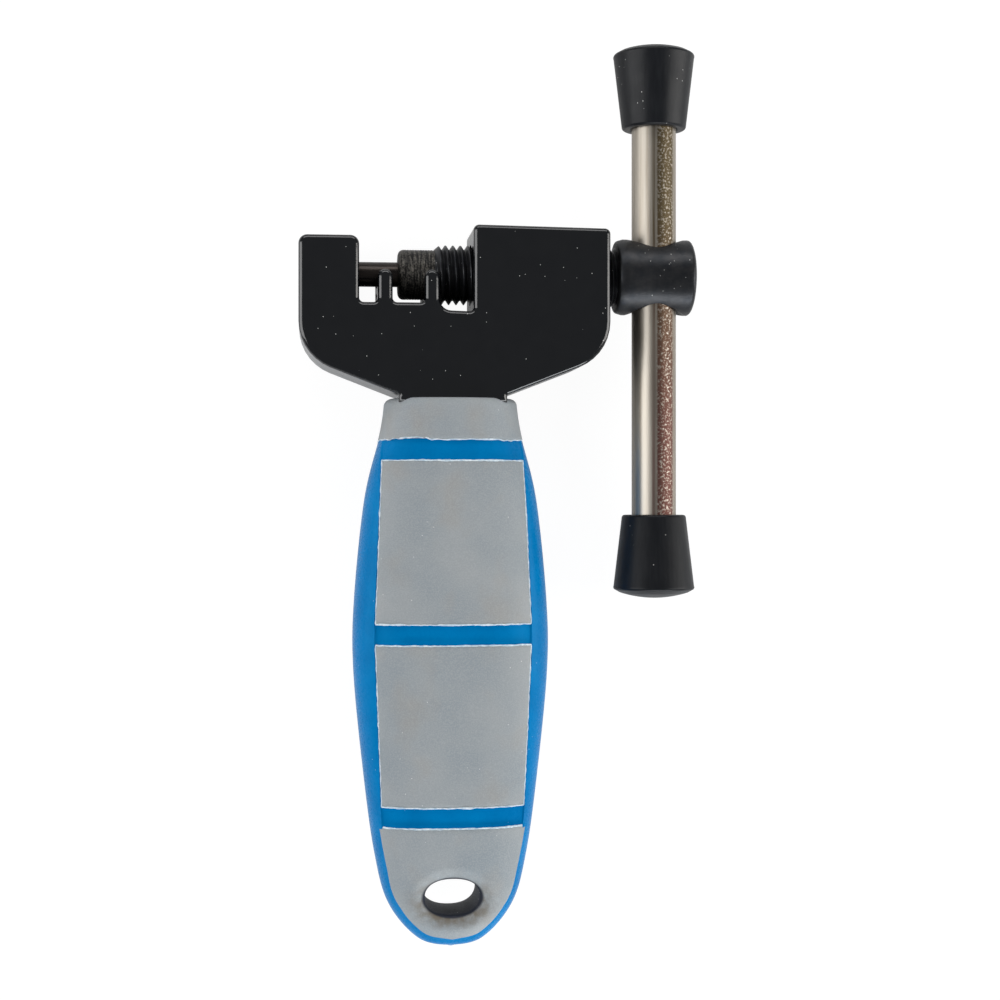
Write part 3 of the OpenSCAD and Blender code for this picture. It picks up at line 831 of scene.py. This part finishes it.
def cap_profile(inner, outer):
    """Profile of a cap, from its inner end to the top of its dome. Works in either direction."""
    out = 1 if outer > inner else -1
    small, big, dome = 4.4, 5.5, 1.05
    shoulder = outer - out * dome
    profile = [(inner + out * 3.0, 0.0), (inner + out * 3.0, rod_r + 0.05), (inner + out * 0.25, rod_r + 0.05)]
    profile += [(inner, rod_r + 0.3), (inner, small - 0.5)]
    profile += [(inner + out * (0.4 - a), small - 0.45 + b) for a, b in arc(0, 0, 0.4, 20, 80, 4)]
    profile += [(shoulder - out * 0.55, big - 0.05)]
    profile += [(shoulder - out * (0.4 - b), big - 0.4 + a) for a, b in arc(0, 0, 0.4, 0, 75, 5)]
    sphere = (big * big + dome * dome) / (2 * dome)
    widest = math.asin((big - 0.45) / sphere)
    for i in range(1, 13):
        t = widest * (1 - i / 12)
        profile.append((outer - out * sphere * (1 - math.cos(t)), sphere * math.sin(t)))
    return profile


for side, ends in (("upper", span("tbar_cap_upper", 1)), ("lower", span("tbar_cap_lower", 1)[::-1])):
    cap = turned(f"tbar_cap_{side}_moulding", cap_profile(*ends), along="y", centre=(bar_x, 0), steps=112)
    fit(cap, cap_plastic, "tbar", "cap_plastic", f"tbar_cap_{side}")
print("caps on a bar at x =", round(bar_x, 2))

# %% [markdown]
# ## The handle's shape
# A handle like this is a smooth bulb, so a few stations along it are enough: each gives the share of the
# length, of the half width and of the half thickness. A curve passes through them. Across the handle, the
# section is a squarish oval. Both are formulas, so any piece of skin can be laid on the same surface.

# %% Handle stations
STATIONS = [
    (0, 0.675, 0.86), (0.035, 0.698, 0.872), (0.075, 0.742, 0.89), (0.185, 0.89, 0.96),
    (0.37, 0.996, 0.995), (0.5, 1, 1),
    (0.69, 0.895, 0.93), (0.83, 0.785, 0.81), (0.92, 0.645, 0.66), (0.983, 0.35, 0.42), (1, 0.03, 0.12)]
handle_len = handle_top - handle_end
SQUARE = 2.7


def station(i):
    last = len(STATIONS) - 1
    if i < 0:
        return [2 * a - b for a, b in zip(STATIONS[0], STATIONS[1])]
    if i > last:
        return [2 * a - b for a, b in zip(STATIONS[last], STATIONS[last - 1])]
    return STATIONS[i]


def handle_at(u):
    """(distance below the top, half width, half thickness) at station u."""
    i = min(int(u), len(STATIONS) - 2)
    t = u - i
    values = []
    for a, b, c, d in zip(station(i - 1), station(i), station(i + 1), station(i + 2)):
        cubic = (3 * b - a - 3 * c + d) * t ** 3
        values.append((2 * b + (c - a) * t + (2 * a - 5 * b + 4 * c - d) * t ** 2 + cubic) / 2)
    return values[0] * handle_len, values[1] * handle_half_w, values[2] * handle_half_t


def station_of(s):
    low, high = 0.0, len(STATIONS) - 1.0
    for _ in range(30):
        mid = (low + high) / 2
        low, high = (mid, high) if handle_at(mid)[0] < s else (low, mid)
    return low


def face_height(x, s):
    """Height of the front face above the middle, at x and s below the top."""
    _, w, h = handle_at(station_of(s))
    return h * max(0.0, 1 - (abs(x) / w) ** SQUARE) ** (1 / SQUARE)


# %% [markdown]
# The grips sit in a shallow channel that runs down the front and the back, so the blue bands between them
# lie a little lower than the blue sides. The channel's edge is one straight line per panel.

# %% Channel for the grips
collar_len, band = 5.5, 2.75
upper = (collar_len + band, collar_len + band + 21.4)
lower = (upper[1] + band, upper[1] + band + 21.2)
end_from = lower[1] + band
CHANNEL = 0.32
edge_marks = [(0.0, 9.0), (upper[0], 9.3), (upper[1], 10.2), (lower[0], 10.2), (lower[1], 9.35),
              (end_from, 9.15), (handle_len, 8.0)]


def channel_half(s):
    """Half width of the channel at s below the top."""
    for (s0, w0), (s1, w1) in zip(edge_marks, edge_marks[1:]):
        if s <= s1:
            return w0 + (w1 - w0) * (s - s0) / (s1 - s0)
    return edge_marks[-1][1]


def channel_depth(s):
    """Full depth between the collar and the end pad, and none past them."""
    top = min(1.0, max(0.0, (s - collar_len + 0.6) / 0.3))
    bottom = min(1.0, max(0.0, (end_from + 0.6 - s) / 0.3))
    return CHANNEL * top * bottom


# %% Core
STEP_W = 0.16


def section(s, w, h, inset=0.0):
    """Ring round the handle: sides, a soft step and the channel's floor, front and rear."""
    w, h = max(w - inset, 0.15), max(h - inset, 0.15)
    half = min(channel_half(s), w * 0.93)
    depth = channel_depth(s)

    def rise(x):
        return h * max(0.0, 1 - (abs(x) / w) ** SQUARE) ** (1 / SQUARE)

    edge = math.acos(min(1.0, ((half + STEP_W) / w)) ** (SQUARE / 2))
    right = []
    for i in range(13):
        t = edge * i / 12
        right.append((w * math.cos(t) ** (2 / SQUARE), h * math.sin(t) ** (2 / SQUARE)))
    right.append((half, rise(half) - depth * 0.75))
    right.append((half - STEP_W, rise(half - STEP_W) - depth))
    across = [(half - STEP_W) * (1 - 2 * i / 20) for i in range(1, 20)]
    top = right + [(x, rise(x) - depth) for x in across]
    top += [(-x, z) for x, z in reversed(right)]
    ring = top + [(-x, -z) for x, z in top[1:-1]]
    return [(x, handle_top - s, z) for x, z in ring]


def core_rings():
    first = station_of(1.2)
    last = len(STATIONS) - 1.0
    stops = []
    count = 150
    for i in range(count + 1):
        stops.append(first + (last - first) * i / count)
    for s in (collar_len - 0.6, collar_len - 0.3, end_from + 0.3, end_from + 0.6):
        stops.append(station_of(s))
    rings = []
    for u in sorted(stops):
        s, w, h = handle_at(u)
        rings.append(section(s, w, h, inset=1.0 if s < collar_len - 0.7 else 0.0))
    s, w, h = handle_at(last)
    rings.append([(0.0, handle_end, 0.0)] * len(rings[0]))
    return rings


LINER, SEAT, DISH = 2.3, 0.7, 2.0


def oval(t, grow=0.0):
    """Point on the hanging hole's edge at angle t: a squarish oval."""
    c, s = math.cos(t), math.sin(t)
    share = 2 / 2.3
    return ((hole_half_w + grow) * math.copysign(abs(c) ** share, c),
            (hole_half_h + grow) * math.copysign(abs(s) ** share, s))


core = skin("handle_core_moulding", core_rings(), crisp=60.0)

# %% [markdown]
# ## Grips
# A grip panel is a thin pillow. Its top is a grid laid on the handle's surface, its outermost rows turn
# down into the channel, and its edge wanders by a few hundredths, as a moulded edge does. The same maker
# serves the front and the rear.

# %% Grip panels
PROUD = 0.06


def wander(x, y, z, size, amount):
    """Small steady noise that depends only on the place."""
    return amount * noise.noise(Vector((x, y, z)) / size)


def panel_grid(low, high, face, across=44, along=56):
    """Rows of points for a panel between two distances below the top."""
    edge = 0.10
    shares = [0.0, 0.012] + [0.012 + 0.976 * i / along for i in range(1, along + 1)] + [1.0]
    columns = [-1.0, -1 + edge / 9] + [(-1 + edge / 9) * (1 - 2 * i / across) for i in range(1, across)]
    columns += [1 - edge / 9, 1.0]
    rows = []
    for j, share in enumerate(shares):
        row = []
        for i, column in enumerate(columns):
            s = low + (high - low) * share
            half = channel_half(s) - 0.03
            x = half * column
            rim = i in (0, len(columns) - 1) or j in (0, len(shares) - 1)
            if i in (0, len(columns) - 1):
                x += wander(x, s, 3.0, 0.9, 0.07)
            if j in (0, len(shares) - 1):
                s += wander(x, s, 7.0, 0.8, 0.16)
            rise = PROUD - (0.10 if rim else 0.0)
            row.append((x, handle_top - s, face * (face_height(x, s) + rise)))
        rows.append(row)
    return rows


def pillow(name, rows, drop):
    """Closes a grid of rows with sides and a floor that lies drop millimetres lower."""
    wide, tall = len(rows[0]), len(rows)
    face = 1 if rows[0][0][2] > 0 else -1
    tops = [p for row in rows for p in row]
    floors = [(x, y, z - face * drop) for x, y, z in tops]
    count = len(tops)
    faces = []
    for j in range(tall - 1):
        for i in range(wide - 1):
            a, b, c, d = j * wide + i, j * wide + i + 1, (j + 1) * wide + i + 1, (j + 1) * wide + i
            faces += [(a, b, c, d), (a + count, d + count, c + count, b + count)]
    rim = [i for i in range(wide)] + [j * wide + wide - 1 for j in range(1, tall)]
    rim += [(tall - 1) * wide + i for i in range(wide - 2, -1, -1)] + [j * wide for j in range(tall - 2, 0, -1)]
    for a, b in zip(rim, rim[1:] + rim[:1]):
        faces.append((a, b, b + count, a + count))
    return as_piece(name, tops + floors, faces, crisp=55.0)


for face, word in ((1, "front"), (-1, "rear")):
    for (low, high), part in ((upper, "upper"), (lower, "lower")):
        panel = pillow(f"grip_{word}_{part}_pad", panel_grid(low, high, face), 0.9)
        fit(panel, grip_rubber, "frame", "grip_rubber", f"grip_{word}_{part}")

# %% [markdown]
# The collar wraps the top of the handle. It is a band with a rounded top edge that closes round the neck
# of the head, and a lower edge that wanders where the soft plastic crept over the blue.

# %% Collar


def oval_ring(s, w, h, steps=120):
    ring = []
    for k in range(steps):
        t = 2 * math.pi * k / steps
        c, v = math.cos(t), math.sin(t)
        x = w * math.copysign(abs(c) ** (2 / SQUARE), c)
        z = h * math.copysign(abs(v) ** (2 / SQUARE), v)
        ring.append((x, handle_top - s, z))
    return ring


def neck_ring(s, sunk=0.8, steps=120):
    """Ring a little inside the head's square neck, at the same angles as the outer rings."""
    ring = []
    for k in range(steps):
        t = 2 * math.pi * k / steps
        c, v = math.cos(t), math.sin(t)
        scale = 1 / max(abs(c) / (neck_half - sunk), abs(v) / (head_front - sunk))
        ring.append((c * scale, handle_top - s, v * scale))
    return ring


def quarter(s, radius):
    """How far a rounded edge of this radius has drawn back at s below the end."""
    return radius - math.sqrt(max(0.0, radius ** 2 - max(0.0, radius - s) ** 2))


collar_edge = []


def collar_rings():
    rings = []
    side_turn, face_turn, lip = 0.8, 0.4, 0.06
    for i in range(15):
        s = side_turn * (i / 14) ** 2
        _, w, h = handle_at(station_of(s))
        rings.append(oval_ring(s, w + lip - quarter(s, side_turn), h + lip - quarter(s, face_turn)))
    for i in range(1, 13):
        s = side_turn + (collar_len - 0.12 - side_turn) * i / 12
        _, w, h = handle_at(station_of(s))
        rings.append(oval_ring(s, w + lip, h + lip))
    _, w, h = handle_at(station_of(collar_len))
    for down, inward in ((0.0, 0.04), (-0.06, 0.30)):
        ragged = []
        for x, y, z in oval_ring(collar_len + down, w - inward, h - inward):
            creep = wander(x, z, 5.0, 3.4, 0.30) + wander(x, z, 9.0, 0.8, 0.16)
            ragged.append((x, y + creep, z))
        rings.append(ragged)
    collar_edge.extend(rings[-2])
    rings.append(oval_ring(collar_len - 0.7, w - 1.0, h - 1.0))
    rings.append(oval_ring(1.0, *[v - 1.3 for v in handle_at(station_of(1.0))[1:]]))
    rings.append(neck_ring(0.9))
    rings.append(neck_ring(0.02))
    return rings


collar = skin("grip_collar_moulding", collar_rings(), loop=True, crisp=55.0)
fit(collar, grip_rubber, "frame", "grip_rubber", "grip_collar")

# %% [markdown]
# The end pad covers the tip on both sides and lines the hanging hole. In one sweep its section runs from
# the front edge in to the hole, rolls softly down through it and out to the rear edge. Sweeping that
# section round the hole gives one closed piece.

# %% End pad
RIM_SIDE, RIM_END = 1.0, 1.35
end_steps = 144


core_edge = [handle_at(len(STATIONS) - 6 + 5.0 * i / 120) for i in range(121)]
core_edge = [(w, s) for s, w, _ in core_edge] + [(0.0, handle_len)]


def in_pad(x, s):
    """Whether a point lies far enough from the handle's own outline, and below the last band."""
    share = min(1.0, max(0.0, (s - end_from) / (handle_len - end_from)))
    rim = RIM_SIDE + (RIM_END - RIM_SIDE) * share
    if s < end_from or s > handle_len or abs(x) > handle_at(station_of(s))[1]:
        return False
    return min(math.hypot(abs(x) - w, s - at) for w, at in core_edge) > rim


def pad_edge(t):
    """Outer edge of the end pad in the direction t from the hole's middle: (x, s)."""
    centre_s = handle_top - hole_y
    dx, ds = math.cos(t), -math.sin(t)
    low, high = 0.0, 20.0
    for _ in range(22):
        mid = (low + high) / 2
        low, high = (mid, high) if in_pad(dx * mid, centre_s + ds * mid) else (low, mid)
    return dx * low, centre_s + ds * low


def pad_section(t):
    """Points from the front edge, in to the hole, through it and out to the rear edge."""
    edge_x, edge_s = pad_edge(t)
    hole_x, hole_dy = oval(t)
    hole_s = handle_top - hole_y - hole_dy
    jog = wander(edge_x, edge_s, 11.0, 0.9, 0.10) if edge_s < end_from + 0.4 else 0.0
    front = []
    count = 30
    for i in range(count + 1):
        f = (i / count) ** 0.85
        x = edge_x + (hole_x - edge_x) * f
        s = edge_s + (hole_s - edge_s) * f + jog * (1 - f)
        gap = math.hypot(x - hole_x, s - hole_s)
        dish = 1.1 * max(0.0, 1 - gap / DISH) ** 2
        lift = PROUD - (0.12 if i == 0 else 0.0) - dish
        front.append((x, handle_top - s, face_height(x, s) + lift))
    front.insert(0, (front[0][0], front[0][1], front[0][2] - 0.8))
    rear = [(x, y, -z) for x, y, z in reversed(front)]
    depth = front[-1][2]
    waist = []
    for i in range(1, 10):
        f = 1 - 2 * i / 10
        tuck = 0.25 * (1 - f * f)
        x, y, _ = front[-1]
        waist.append((x * (1 - tuck / hole_half_w), hole_y + (y - hole_y) * (1 - tuck / hole_half_h), depth * f))
    return front + waist + rear


def pad_seat():
    """Cuts the hole that the pad fills out of the core. It stays inside the pad's own edge."""
    ring = []
    for k in range(end_steps):
        t = 2 * math.pi * k / end_steps
        edge_x, edge_s = pad_edge(t)
        x, y = oval(t)
        to_edge = math.hypot(edge_x, handle_top - edge_s - hole_y) - SEAT
        reach = min(1 + LINER / math.hypot(x, y), to_edge / math.hypot(x, y))
        ring.append((x * reach, y * reach))
    return skin("pad_seat", [[(x, hole_y + y, z) for x, y in ring] for z in (-12.0, 12.0)])


cut(core, pad_seat(), crisp=60.0)
fit(core, blue_plastic, "frame", "core_plastic", "handle_core")
print("core:", len(core.data.polygons), "faces")
pad_rings = [pad_section(2 * math.pi * (k + 0.5) / end_steps) for k in range(end_steps)]
end_pad = skin("grip_end_pad_moulding", pad_rings, loop=True, crisp=55.0)
fit(end_pad, grip_rubber, "frame", "grip_rubber", "grip_end_pad")
print("end pad:", len(end_pad.data.polygons), "faces")

# %% [markdown]
# ## Flash along the seams
# A bead of flash follows a path, so Geometry Nodes sweep it: each seam is a line of points on the handle's
# surface, and the tree resamples it, shakes it a little, and gives it a round section that swells and
# thins. One tree serves every seam.

# %% Flash tree


def flash_tree(finish):
    tree, size = growing_tree("seam_flash", {
        "Spacing": 0.00025, "Radius": 0.00006, "Shake": 0.00006, "Seed": 0.0})
    line = add(tree, "GeometryNodeMeshToCurve", {"Mesh": size["Geometry"]}).outputs[0]
    even = add(tree, "GeometryNodeResampleCurve", {"Curve": line, "Length": size["Spacing"]}, mode="LENGTH")
    spot = add(tree, "GeometryNodeInputPosition").outputs[0]
    rough = add(tree, "ShaderNodeTexNoise", {
        "Vector": spot, "W": size["Seed"], "Scale": 1600.0, "Detail": 2.0}, noise_dimensions="4D")
    shift = add(tree, "ShaderNodeVectorMath", {
        0: rough.outputs["Color"], 1: (0.5, 0.5, 0.5)}, operation="SUBTRACT").outputs[0]
    shift = add(tree, "ShaderNodeVectorMath", {0: shift, "Scale": size["Shake"]}, operation="SCALE").outputs[0]
    shaken = add(tree, "GeometryNodeSetPosition", {"Geometry": even.outputs[0], "Offset": shift}).outputs[0]
    swell = add(tree, "ShaderNodeTexNoise", {
        "Vector": spot, "W": size["Seed"], "Scale": 620.0, "Detail": 3.0}, noise_dimensions="4D")
    share = calc(tree, "MULTIPLY", calc(tree, "SUBTRACT", swell.outputs[0], 0.22), 2.2, clamp=True)
    section = add(tree, "GeometryNodeCurvePrimitiveCircle", {"Resolution": 6, "Radius": 1.0}).outputs[0]
    radius = calc(tree, "MULTIPLY", size["Radius"], calc(tree, "ADD", share, 0.25))
    sized = add(tree, "GeometryNodeSetCurveRadius", {"Curve": shaken, "Radius": radius}).outputs[0]
    sweep = add(tree, "GeometryNodeCurveToMesh", {
        "Curve": sized, "Profile Curve": section, "Fill Caps": True})
    if "Scale" in sweep.inputs:
        tree.links.new(radius, sweep.inputs["Scale"])
    close_tree(tree, sweep.outputs[0], finish)
    return tree


# %% Seams
def seam_row(low, high, face, lift=0.0):
    """Points across the handle at one distance below the top, or along it at a share of its width."""
    points = []
    for i in range(61):
        f = -1 + 2 * i / 60
        if low is not None:
            s = low
            x = f * (channel_half(s) - 0.02)
        else:
            s = high[0] + (high[1] - high[0]) * i / 60
            x = high[2] * (channel_half(s) - 0.02)
        points.append((x, handle_top - s, face * (face_height(x, s) + lift)))
    return points


def seam_mesh(name, lines):
    points, edges = [], []
    for line in lines:
        start = len(points)
        points += line
        edges += [(start + i, start + i + 1) for i in range(len(line) - 1)]
    mesh = bpy.data.meshes.new(name)
    mesh.from_pydata([HOME + Vector(p) * MM for p in points], edges, [])
    piece = bpy.data.objects.new(name, mesh)
    bpy.context.scene.collection.objects.link(piece)
    return piece


seam_lines = []
for face in (1, -1):
    for low, high in (upper, lower):
        seam_lines += [seam_row(low, None, face), seam_row(high, None, face)]
        seam_lines += [seam_row(None, (low, high, side), face, -0.05) for side in (-1, 1)]
    seam_lines.append(seam_row(end_from, None, face))
seam_lines.append(collar_edge + collar_edge[:1])
seams = seam_mesh("grip_flash", seam_lines)
grow(seams, flash_tree(flash), {"Radius": 0.12 * MM, "Shake": 0.22 * MM, "Seed": 3.0}, crisp=60.0)
seams.data.materials.clear()
seams.data.materials.append(flash)
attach(seams, "frame")
print("flash:", len(seams.data.polygons), "faces on", len(seam_lines), "seams")
